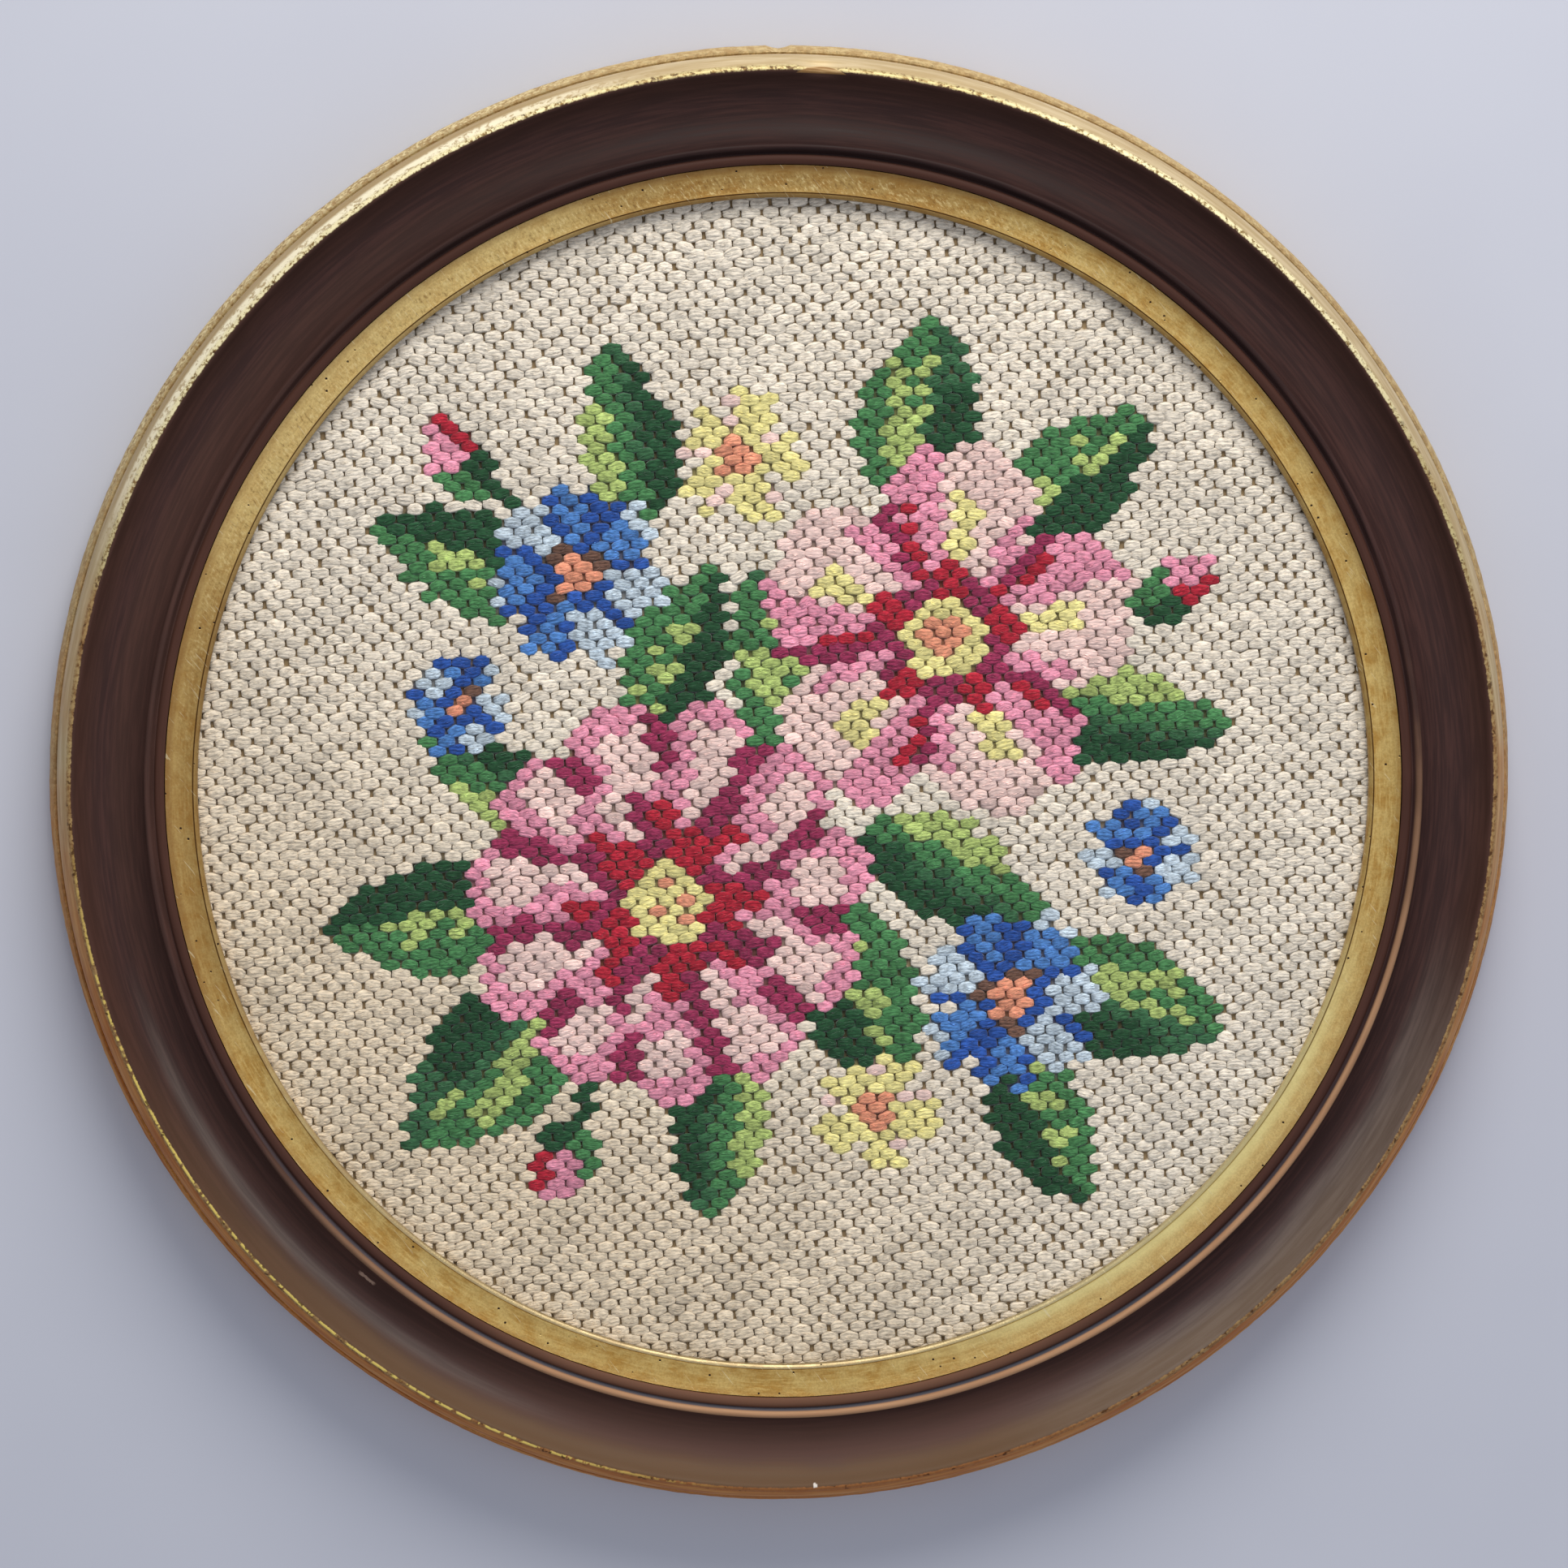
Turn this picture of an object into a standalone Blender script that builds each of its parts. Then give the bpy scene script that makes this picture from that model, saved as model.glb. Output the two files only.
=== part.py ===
"""A round needlepoint in its turned wooden frame.

The frame lies on its back: +Z points out of the picture, +Y points to the
picture's top, and the origin is at the centre of the frame's flat back.
Lengths are in metres. Every piece is turned about the Z axis, so a section is
a list of (radius, height) points.
"""

import math

import bmesh
import bpy

# Sides of every turned piece.
SEGMENTS = 80

# What stays free between two pieces that touch in the real frame.
FIT_GAP = 0.0003

# The moulding, from its outer side to the lip that holds the liner.
OUTER_RADIUS = 0.1303
BACK_CHAMFER = 0.0007
BAND_HEIGHT = 0.0045
BAND_TOP_RADIUS = 0.1291
BAND_TOP_HEIGHT = 0.0082
STEP_WIDTH = 0.0008
STEP_DEPTH = 0.0003
CREST_OUTER_RADIUS = 0.1258
CREST_INNER_RADIUS = 0.1246
CREST_HEIGHT = 0.0164
CREST_RISE = 0.0003
FLANK_BULGE = 0.0009
COVE_INNER_RADIUS = 0.1126
COVE_INNER_HEIGHT = 0.0160
COVE_DEPTH = 0.0035
BEAD_INNER_RADIUS = 0.1114
BEAD_RISE = 0.0006
GROOVE_RADIUS = 0.1109
GROOVE_HEIGHT = 0.0154
FILLET_OUTER_RADIUS = 0.1105
FILLET_HEIGHT = 0.0159
FILLET_RISE = 0.0003
LIP_RADIUS = 0.1084
LIP_BOTTOM = 0.0144
RABBET_RADIUS = 0.1126

# The gilt liner, which the lip holds by a flange.
LINER_EDGE_HEIGHT = 0.0152
LINER_BULGE = 0.0006
LINER_HOLLOW_RADIUS = 0.1038
LINER_HOLLOW_HEIGHT = 0.0149
SIGHT_RADIUS = 0.1026
SIGHT_BEAD_RISE = 0.0004
SIGHT_EDGE_HEIGHT = 0.0146
LINER_BOTTOM = 0.0130

# The needlework and the board that it is stretched over.
NEEDLEWORK_THICKNESS = 0.0018
NEEDLEWORK_EDGE = 0.0003
BOARD_BACK = 0.0012
BOARD_EDGE = 0.0006

# Turned surfaces stay smooth across edges blunter than this.
SHARP_ANGLE = math.radians(28)


def clear_scene():
    for obj in list(bpy.data.objects):
        bpy.data.objects.remove(obj, do_unlink=True)


def principled(name, color, roughness, metallic=0.0):
    material = bpy.data.materials.new(name)
    material.use_nodes = True
    shader = material.node_tree.nodes["Principled BSDF"]
    shader.inputs["Base Color"].default_value = (*color, 1.0)
    shader.inputs["Roughness"].default_value = roughness
    shader.inputs["Metallic"].default_value = metallic
    return material


def dark_stained_wood():
    return principled("dark_stained_wood", (0.040, 0.020, 0.016), 0.42)


def worn_gilding():
    return principled("worn_gilding", (0.45, 0.29, 0.10), 0.34, metallic=0.9)


def cream_wool():
    return principled("cream_wool", (0.66, 0.59, 0.49), 0.90)


def raw_board():
    return principled("raw_board", (0.36, 0.25, 0.15), 0.85)


def bulged(start, end, bulge, steps):
    """An arc from start up to end, both left out, that rises by bulge over its chord.

    A negative bulge hollows the surface. Sections run from the outside in, so
    the free side of the chord is on the right of its direction.
    """
    run, rise = end[0] - start[0], end[1] - start[1]
    chord = math.hypot(run, rise)
    radius = (chord * chord / 4 + bulge * bulge) / (2 * abs(bulge))
    half_angle = math.asin(min(1.0, chord / (2 * radius)))
    right = (rise / chord, -run / chord)
    points = []
    for step in range(1, steps):
        angle = half_angle * (2 * step / steps - 1)
        along = 0.5 + radius * math.sin(angle) / chord
        proud = radius * (math.cos(angle) - math.cos(half_angle))
        out = math.copysign(proud, bulge)
        points.append(
            (
                start[0] + run * along + right[0] * out,
                start[1] + rise * along + right[1] * out,
            )
        )
    return points


def moulding_section():
    """The frame's section, from the back of its outer side over the face and down the rabbet."""
    band_top = (BAND_TOP_RADIUS, BAND_TOP_HEIGHT)
    flank_foot = (BAND_TOP_RADIUS - STEP_WIDTH, BAND_TOP_HEIGHT - STEP_DEPTH)
    crest_outer = (CREST_OUTER_RADIUS, CREST_HEIGHT)
    crest_inner = (CREST_INNER_RADIUS, CREST_HEIGHT)
    cove_inner = (COVE_INNER_RADIUS, COVE_INNER_HEIGHT)
    bead_inner = (BEAD_INNER_RADIUS, COVE_INNER_HEIGHT)
    fillet_outer = (FILLET_OUTER_RADIUS, FILLET_HEIGHT)
    lip_edge = (LIP_RADIUS, FILLET_HEIGHT)
    return [
        (OUTER_RADIUS - BACK_CHAMFER, 0.0),
        (OUTER_RADIUS, BACK_CHAMFER),
        (OUTER_RADIUS, BAND_HEIGHT),
        band_top,
        flank_foot,
        *bulged(flank_foot, crest_outer, FLANK_BULGE, 4),
        crest_outer,
        *bulged(crest_outer, crest_inner, CREST_RISE, 3),
        crest_inner,
        *bulged(crest_inner, cove_inner, -COVE_DEPTH, 9),
        cove_inner,
        *bulged(cove_inner, bead_inner, BEAD_RISE, 4),
        bead_inner,
        (GROOVE_RADIUS, GROOVE_HEIGHT),
        fillet_outer,
        *bulged(fillet_outer, lip_edge, FILLET_RISE, 3),
        lip_edge,
        (LIP_RADIUS, LIP_BOTTOM),
        (RABBET_RADIUS, LIP_BOTTOM),
        (RABBET_RADIUS, 0.0),
    ]


def liner_section():
    """The liner's section, from its flange under the lip over the gilt face to the sight edge."""
    flange_radius = RABBET_RADIUS - FIT_GAP
    flange_top = LIP_BOTTOM - FIT_GAP
    face_edge = (LIP_RADIUS - FIT_GAP, LINER_EDGE_HEIGHT)
    hollow = (LINER_HOLLOW_RADIUS, LINER_HOLLOW_HEIGHT)
    sight_edge = (SIGHT_RADIUS, SIGHT_EDGE_HEIGHT)
    return [
        (flange_radius, LINER_BOTTOM),
        (flange_radius, flange_top),
        (face_edge[0], flange_top),
        face_edge,
        *bulged(face_edge, hollow, LINER_BULGE, 4),
        hollow,
        *bulged(hollow, sight_edge, SIGHT_BEAD_RISE, 3),
        sight_edge,
        (SIGHT_RADIUS, LINER_BOTTOM),
    ]


def finish(obj, material):
    obj.data.materials.append(material)
    obj.data.shade_smooth()
    obj.data.set_sharp_from_angle(angle=SHARP_ANGLE)
    return obj


def turned_ring(name, section, material):
    """A ring made by spinning a closed section once round the Z axis."""
    mesh = bpy.data.meshes.new(name)
    ring = bmesh.new()
    corners = [ring.verts.new((radius, 0.0, height)) for radius, height in section]
    for here, there in zip(corners, corners[1:] + corners[:1]):
        ring.edges.new((here, there))
    bmesh.ops.spin(
        ring,
        geom=ring.verts[:] + ring.edges[:],
        cent=(0.0, 0.0, 0.0),
        axis=(0.0, 0.0, 1.0),
        angle=2 * math.pi,
        steps=SEGMENTS,
        use_merge=True,
    )
    bmesh.ops.remove_doubles(ring, verts=ring.verts, dist=0.00001)
    bmesh.ops.recalc_face_normals(ring, faces=ring.faces)
    ring.to_mesh(mesh)
    ring.free()
    obj = bpy.data.objects.new(name, mesh)
    bpy.context.scene.collection.objects.link(obj)
    return finish(obj, material)


def flat_disc(name, radius, bottom, top, edge, material):
    """A round sheet or board with a small chamfer on both rims."""
    mesh = bpy.data.meshes.new(name)
    disc = bmesh.new()
    bmesh.ops.create_circle(disc, cap_ends=True, segments=SEGMENTS, radius=radius)
    bmesh.ops.translate(disc, verts=disc.verts, vec=(0.0, 0.0, bottom))
    raised = bmesh.ops.extrude_face_region(disc, geom=disc.faces[:])["geom"]
    top_corners = [part for part in raised if isinstance(part, bmesh.types.BMVert)]
    bmesh.ops.translate(disc, verts=top_corners, vec=(0.0, 0.0, top - bottom))
    rims = [part for part in disc.edges if abs(part.verts[0].co.z - part.verts[1].co.z) < edge]
    bmesh.ops.bevel(disc, geom=rims, offset=edge, segments=1, affect="EDGES")
    bmesh.ops.recalc_face_normals(disc, faces=disc.faces)
    disc.to_mesh(mesh)
    disc.free()
    obj = bpy.data.objects.new(name, mesh)
    bpy.context.scene.collection.objects.link(obj)
    return finish(obj, material)


def frame_moulding():
    """The turned ring: gilt outer side and crest, dark cove, bead, fillet and lip."""
    wood, gilding = dark_stained_wood(), worn_gilding()
    moulding = turned_ring("frame_moulding", moulding_section(), wood)
    moulding.data.materials.append(gilding)
    gilt_slot = moulding.data.materials.find(gilding.name)
    for face in moulding.data.polygons:
        if face.center.to_2d().length > CREST_INNER_RADIUS and face.normal.z > -0.5:
            face.material_index = gilt_slot
    return moulding


def sight_liner():
    """The gilt ring between the moulding and the picture."""
    return turned_ring("sight_liner", liner_section(), worn_gilding())


def needlework():
    """The stitched canvas, stretched flat under the liner."""
    top = LINER_BOTTOM - FIT_GAP
    bottom = top - NEEDLEWORK_THICKNESS
    radius = RABBET_RADIUS - FIT_GAP
    return flat_disc("needlework", radius, bottom, top, NEEDLEWORK_EDGE, cream_wool())


def backing_board():
    """The plain board that fills the rabbet behind the canvas."""
    top = LINER_BOTTOM - FIT_GAP - NEEDLEWORK_THICKNESS - FIT_GAP
    radius = RABBET_RADIUS - FIT_GAP
    return flat_disc("backing_board", radius, BOARD_BACK, top, BOARD_EDGE, raw_board())


clear_scene()
frame_moulding()
sight_liner()
needlework()
backing_board()
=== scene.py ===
import math
import random

import bpy
import numpy as np
from mathutils import Matrix, Vector


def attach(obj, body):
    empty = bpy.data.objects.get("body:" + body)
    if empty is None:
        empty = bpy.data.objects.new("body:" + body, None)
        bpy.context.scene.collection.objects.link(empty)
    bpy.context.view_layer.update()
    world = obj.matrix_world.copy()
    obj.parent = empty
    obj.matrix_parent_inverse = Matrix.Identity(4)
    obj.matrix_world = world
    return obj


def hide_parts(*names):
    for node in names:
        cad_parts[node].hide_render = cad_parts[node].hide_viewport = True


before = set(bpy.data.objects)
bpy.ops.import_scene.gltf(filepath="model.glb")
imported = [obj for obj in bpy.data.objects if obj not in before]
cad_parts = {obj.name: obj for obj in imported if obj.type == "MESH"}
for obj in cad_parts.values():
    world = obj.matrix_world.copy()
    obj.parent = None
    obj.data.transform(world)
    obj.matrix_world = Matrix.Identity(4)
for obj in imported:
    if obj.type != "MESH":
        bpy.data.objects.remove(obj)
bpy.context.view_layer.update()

mm = 0.001
weld = 0.01 * mm  # points nearer than this become one
smoothAngle = math.radians(34)  # sharper edges stay sharp
random.seed(20)
scene = bpy.context.scene
scene.view_settings.view_transform = "Standard"  # hex colours come out as written
scene.view_settings.look = "None"


def hexColor(text, gain=1.0):
    # sRGB hex to the linear values that Blender works in
    channels = [int(text[i:i + 2], 16) / 255 for i in (1, 3, 5)]
    linear = [c / 12.92 if c <= 0.04045 else ((c + 0.055) / 1.055) ** 2.4 for c in channels]
    return (*[min(1.0, c * gain) for c in linear], 1.0)


def addNode(tree, kind, inputs=(), output=0, **settings):
    # inputs in order or by name, each a value, a hex colour or the output of another node
    made = tree.nodes.new("ShaderNode" + kind)
    for name, setting in settings.items():
        setattr(made, name, setting)
    for socket, value in inputs.items() if isinstance(inputs, dict) else enumerate(inputs):
        if isinstance(value, bpy.types.NodeSocket):
            tree.links.new(value, made.inputs[socket])
        else:
            made.inputs[socket].default_value = hexColor(value) if isinstance(value, str) else value
    return made.outputs[output]


def within(tree, *limits):
    # how far all the limits hold. A limit is (value, low, high), which goes softly from 0 at low
    # to 1 at high, or between two other amounts that follow, or else it is an amount itself
    held = None
    for limit in limits:
        if isinstance(limit, tuple):
            limit = addNode(tree, "MapRange", limit, interpolation_type="SMOOTHSTEP")
        held = limit if held is None else addNode(tree, "Math", (held, limit), operation="MULTIPLY")
    return held


def eitherOf(tree, *sets):
    # for two lists of limits: the one that holds more
    return addNode(tree, "Math", [within(tree, *limits) for limits in sets], operation="MAXIMUM")


def paintOver(tree, under, color, *limits):
    # color over what is under it, as far as the limits hold
    return addNode(tree, "Mix", {0: within(tree, *limits), 6: under, 7: color}, 2, data_type="RGBA")


def newMaterial(name, values):
    # values that are the same all over the surface
    material = bpy.data.materials.new(name)
    material.use_nodes = True
    shader = material.node_tree.nodes["Principled BSDF"]
    for socket, value in values.items():
        shader.inputs[socket].default_value = value
    return material, material.node_tree, shader


def joinShader(tree, shader, color, relief, strength, depth, **others):
    # colour, relief as bump that is depth millimetres deep, and other sockets by name
    bump = addNode(tree, "Bump", {"Height": relief, "Strength": strength, "Distance": depth * mm})
    for socket, source in {"Base Color": color, "Normal": bump, **others}.items():
        tree.links.new(source, shader.inputs[socket])


def ringPlaces(tree):
    # place, radius and height in millimetres, and the direction from the frame's axis
    place = addNode(tree, "TexCoord", output="Object")
    place = addNode(tree, "VectorMath", {0: place, "Scale": 1000.0}, operation="SCALE")
    flat = addNode(tree, "VectorMath", (place, (1.0, 1.0, 0.0)), operation="MULTIPLY")
    radius = addNode(tree, "VectorMath", (flat,), "Value", operation="LENGTH")
    height = addNode(tree, "SeparateXYZ", (place,), "Z")
    direction = addNode(tree, "VectorMath", (flat,), operation="NORMALIZE")
    return place, radius, height, direction


def turnedVector(tree, direction, radius, around, across):
    # for streaks that run with the turning: slow round the ring, fast across it
    slow = addNode(tree, "VectorMath", {0: direction, "Scale": around}, operation="SCALE")
    fast = addNode(tree, "Math", (radius, across), operation="MULTIPLY")
    return addNode(tree, "VectorMath", (slow, addNode(tree, "CombineXYZ", {2: fast})), operation="ADD")


def facing(tree, direction, x, y):
    # 1 on the side of the ring that looks along (x, y), -1 on the other
    return addNode(tree, "VectorMath", (direction, (x, y, 0.0)), "Value", operation="DOT_PRODUCT")


def deselectAll():
    bpy.ops.object.select_all(action="DESELECT")


def bulged(start, end, bulge, steps):
    # points on an arc between two section points, which stands bulge proud of their chord
    run, rise = end[0] - start[0], end[1] - start[1]
    chord = math.hypot(run, rise)
    radius = (chord * chord / 4 + bulge * bulge) / (2 * abs(bulge))
    half = math.asin(min(1.0, chord / (2 * radius)))
    points = []
    for step in range(1, steps):
        angle = half * (2 * step / steps - 1)
        along = 0.5 + radius * math.sin(angle) / chord
        proud = math.copysign(radius * (math.cos(angle) - math.cos(half)), bulge)
        points.append((start[0] + run * along + rise / chord * proud,
                       start[1] + rise * along - run / chord * proud))
    return points


def drawOutline(name, places):
    # one point, extruded from place to place and back to the start; stays in edit mode
    deselectAll()
    bpy.ops.mesh.primitive_plane_add(size=mm, location=(0, 0, 0))
    piece = bpy.context.object
    piece.name = piece.data.name = name
    bpy.ops.object.mode_set(mode="EDIT")
    bpy.ops.mesh.select_mode(type="VERT")
    bpy.ops.mesh.select_all(action="SELECT")
    bpy.ops.mesh.merge(type="CENTER")
    bpy.ops.transform.translate(value=Vector(places[0]) * mm)
    for here, there in zip(places, places[1:] + places[:1]):
        step = (Vector(there) - Vector(here)) * mm
        bpy.ops.mesh.extrude_region_move(TRANSFORM_OT_translate={"value": step})
    bpy.ops.mesh.select_all(action="SELECT")
    bpy.ops.mesh.remove_doubles(threshold=weld)
    bpy.ops.mesh.select_all(action="SELECT")
    return piece


def turnRing(name, section, segments):
    # a section of (radius, height), spun once round the Z axis
    ring = drawOutline(name, [(radius, 0, height) for radius, height in section])
    bpy.ops.mesh.spin(steps=segments, angle=2 * math.pi, center=(0, 0, 0), axis=(0, 0, 1))
    bpy.ops.mesh.select_all(action="SELECT")
    bpy.ops.mesh.remove_doubles(threshold=weld)
    bpy.ops.mesh.normals_make_consistent(inside=False)
    bpy.ops.object.mode_set(mode="OBJECT")
    bpy.ops.object.shade_smooth_by_angle(angle=smoothAngle)
    return ring


def roughen(piece, name, reaches, heights, weight, strength, size):
    # an uneven surface between two radii and two heights
    group = piece.vertex_groups.new(name=name)
    for corner in piece.data.vertices:
        reach, height = corner.co.xy.length / mm, corner.co.z / mm
        if reaches[0] < reach < reaches[1] and heights[0] < height < heights[1]:
            group.add([corner.index], weight, "REPLACE")
    texture = bpy.data.textures.new(name, "CLOUDS")
    texture.noise_scale = size * mm
    texture.noise_depth = 2
    bpy.context.view_layer.objects.active = piece
    modifier = piece.modifiers.new(name, "DISPLACE")
    modifier.texture, modifier.texture_coords = texture, "LOCAL"
    modifier.strength, modifier.mid_level = strength * mm, 0.5
    modifier.vertex_group = name
    bpy.ops.object.modifier_apply(modifier=name)


# the turned moulding: gilded outside, dark stained cove, small rubbed bead

moulding = {
    "segments": 720,
    "outer": 130.3, "backChamfer": 0.7, "bandHeight": 4.5,
    "swellFrom": 2.2, "swellAt": 3.4, "swell": 0.05, "bandBulge": 0.2,
    "bandTop": (129.1, 8.2), "bandLip": (0.3, 0.05), "flankFoot": (128.3, 7.9),
    "crestOuter": (125.8, 16.4), "crestInner": (124.6, 16.4), "crestRise": 0.3,
    "flankBulge": 0.9, "coveInner": (112.6, 16.0), "coveDepth": 3.5,
    "beadInner": (111.4, 16.0), "beadRise": 0.6, "groove": (110.9, 15.4), "grooveHalf": 0.1,
    "filletOuter": (110.5, 15.9), "filletRise": 0.2, "lip": 109.05,
    "lipBottom": 14.4, "rabbet": 112.6,
    # name, radii, heights, weight, strength, size
    "rough": [("roughBand", (128.9, 131.0), (0.9, 8.0), 1.0, 0.22, 2.2),
              ("wornCrest", (124.2, 125.9), (16.0, 17.0), 0.55, 0.35, 1.6)],
    "chipAngle": 87.3, "chipSweep": 2.0, "chipDepth": 0.75,  # degrees, from the right
    "chipReach": (124.3, 126.6), "chipFloor": 15.2,
    "nickAngle": 90.5, "nickSweep": 0.9, "nickDepth": 0.55, "nickReach": 129.0,
    # direction x and y, radius, half the length, half the width, colour
    "scars": [(-0.651, -0.759, 114.6, 1.7, 0.28, "#a88a78"),
              (0.040, -0.999, 124.9, 0.35, 0.3, "#e6ded4")],
}


def mouldingSection(m):
    lipEdge = (m["lip"], m["filletOuter"][1])
    return [
        (m["outer"] - m["backChamfer"], 0.0), (m["outer"], m["backChamfer"]),
        (m["outer"], m["swellFrom"]), (m["outer"] + m["swell"], m["swellAt"]),
        (m["outer"], m["bandHeight"]),
        *bulged((m["outer"], m["bandHeight"]), m["bandTop"], m["bandBulge"], 4), m["bandTop"],
        (m["bandTop"][0] - m["bandLip"][0], m["bandTop"][1] + m["bandLip"][1]), m["flankFoot"],
        *bulged(m["flankFoot"], m["crestOuter"], m["flankBulge"], 9), m["crestOuter"],
        *bulged(m["crestOuter"], m["crestInner"], m["crestRise"], 5), m["crestInner"],
        *bulged(m["crestInner"], m["coveInner"], -m["coveDepth"], 18), m["coveInner"],
        *bulged(m["coveInner"], m["beadInner"], m["beadRise"], 6), m["beadInner"],
        (m["groove"][0] + m["grooveHalf"], m["groove"][1] + m["grooveHalf"]),
        (m["groove"][0] - m["grooveHalf"], m["groove"][1] + m["grooveHalf"]), m["filletOuter"],
        *bulged(m["filletOuter"], lipEdge, m["filletRise"], 6), lipEdge,
        (m["lip"], m["lipBottom"]), (m["rabbet"], m["lipBottom"]), (m["rabbet"], 0.0),
    ]


def turnedWoodFinish(m):
    # turned hardwood, stained and waxed: near black brown, soft gloss, faint streaks round the
    # ring, with leaf gilding outside that has gone rough on the band and broken on the crest
    material, tree, shader = newMaterial("stainedAndGildedWood", {"Specular IOR Level": 0.1})
    place, radius, height, direction = ringPlaces(tree)
    upward, downward = facing(tree, direction, 0.0, 1.0), facing(tree, direction, 0.0, -1.0)
    broad, worn, nicks, speck, fine = [
        addNode(tree, "TexNoise", {"Vector": place, "Scale": scale, "Detail": detail, "Roughness": rough})
        for scale, detail, rough in ((0.06, 3.0, 0.5), (0.7, 4.0, 0.7), (0.8, 2.0, 0.5),
                                     (1.3, 4.0, 0.7), (2.2, 3.0, 0.6))]
    streaks = addNode(tree, "TexNoise", {"Vector": turnedVector(tree, direction, radius, 9.0, 1.6),
                                         "Scale": 1.0, "Detail": 4.0, "Roughness": 0.6})

    stain = paintOver(tree, "#3a2826", "#4a322e", (streaks, 0.38, 0.68))
    outward = addNode(tree, "Math", (broad, 2.0, radius), operation="MULTIPLY_ADD")
    stain = paintOver(tree, stain, "#54382b", (outward, 120.6, 125.6), 0.4)
    # painted highlight: on the lower side the cove is painted lighter and browner under the crest, with a
    # grey painted reflection further in
    low = within(tree, (downward, 0.25, 0.95))
    wander = addNode(tree, "Math", (broad, 3.0, -1.5), operation="MULTIPLY_ADD")
    inCove = addNode(tree, "Math", (radius, wander), operation="ADD")
    stain = paintOver(tree, stain, "#745b43", low, (inCove, 118.6, 123.4), 0.68)
    stain = paintOver(tree, stain, "#6f5a58", low, (inCove, 115.2, 119.0), (inCove, 122.6, 120.0), 0.38)
    # at the very bottom the painted highlight reaches down into the cove
    lowest = within(tree, (downward, 0.78, 1.0))
    stain = paintOver(tree, stain, "#785648", lowest, (radius, 112.2, 116.5), (radius, 124.0, 118.5), 0.52)
    # the left side is a little browner in the hollow
    leftHand = eitherOf(tree, [(facing(tree, direction, -0.50, -0.86), 0.6, 1.0)],
                        [(facing(tree, direction, -0.93, 0.37), 0.5, 0.95)])
    stain = paintOver(tree, stain, "#67493b", leftHand, (radius, 121.0, 117.0), 0.2)
    # painted reflections: two grey places low down, a soft streak, and a broader one up to the crest
    softReflection = [(facing(tree, direction, -0.72, -0.69), 0.86, 0.99),
                  (radius, 117.8, 119.8), (radius, 121.6, 119.8)]
    broadReflection = [(facing(tree, direction, 0.74, -0.67), 0.84, 0.99), (inCove, 117.4, 120.4)]
    stain = paintOver(tree, stain, "#8f877e", eitherOf(tree, softReflection, broadReflection),
                      (streaks, 0.3, 0.7, 0.6, 1.0), 0.35)
    # painted shade: dark on the cove's inner side at the top
    stain = paintOver(tree, stain, "#1c1212", (upward, 0.3, 1.0), (radius, 120.6, 115.6), 0.58)
    # the fillet is redder, and at the bottom it is painted lighter as a painted highlight; a grey painted
    # reflection lies in the groove there
    onFillet = (radius, 110.9, 110.6)
    stain = paintOver(tree, stain, "#523226", onFillet, 0.5)
    stain = paintOver(tree, stain, "#86604a", lowest, onFillet, 0.6)
    stain = paintOver(tree, stain, "#5a6370", (radius, 110.8, 111.0), (radius, 111.5, 111.3), low, 0.5)
    # the bead is rubbed to the copper ground on the lower side, and painted lighter there as a painted
    # highlight
    rubbedAndLit = addNode(tree, "Math", (broad, 0.4, facing(tree, direction, 0.35, -0.94)),
                      operation="MULTIPLY_ADD")
    copper = paintOver(tree, "#976c4e", "#c39a76", streaks)
    stain = paintOver(tree, stain, copper, (radius, 111.25, 111.5), (radius, 112.75, 112.45),
                      (rubbedAndLit, 0.3, 1.05))

    # gilding: pale leaf above, and below rubbed to its red-brown ground; the split by side is also painted
    # light, a pale painted reflection above and warm painted shade below. On the lower side the crest is
    # tan, with a thin broken line of gold at the lower left
    upperSidePatches = addNode(tree, "Math", (broad, 0.9, upward), operation="MULTIPLY_ADD")
    paleUpperSide = within(tree, (upperSidePatches, -0.05, 0.85))
    bandZone, crestZone = within(tree, (height, 8.5, 8.1)), within(tree, (height, 15.7, 16.4))
    ground = paintOver(tree, "#ac662c", "#cc904c", (streaks, 0.35, 0.7))
    paleLeaf = paintOver(tree, "#b59e74", "#ccb994", (streaks, 0.35, 0.7))
    flank = paintOver(tree, ground, paleLeaf, paleUpperSide)
    band = paintOver(tree, "#ac8e60", "#c9b282", (worn, 0.38, 0.62))
    band = paintOver(tree, band, "#5a3c1e", (fine, 0.58, 0.66), (worn, 0.44, 0.56), 0.7)
    band = paintOver(tree, ground, band, paleUpperSide)
    lowCrest = paintOver(tree, "#8f6740", "#b08e5e", (speck, 0.40, 0.60))
    lowCrest = paintOver(tree, lowCrest, "#a9693a", lowest, 0.8)
    dashes = addNode(tree, "TexNoise", {"Vector": turnedVector(tree, direction, radius, 90.0, 0.3),
                                        "Scale": 1.0, "Detail": 2.0, "Roughness": 0.55})
    lowCrest = paintOver(tree, lowCrest, "#ffe27a", (dashes, 0.42, 0.50), (radius, 125.1, 125.25),
                         (radius, 125.75, 125.55), (facing(tree, direction, -0.72, -0.69), 0.72, 0.95))
    crest = paintOver(tree, "#8e7448", "#cdbd8a", (speck, 0.36, 0.56))
    crest = paintOver(tree, lowCrest, crest, (upperSidePatches, 0.5, 1.0))
    crest = paintOver(tree, crest, "#4c2c17", (nicks, 0.60, 0.66), 0.8)
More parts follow.
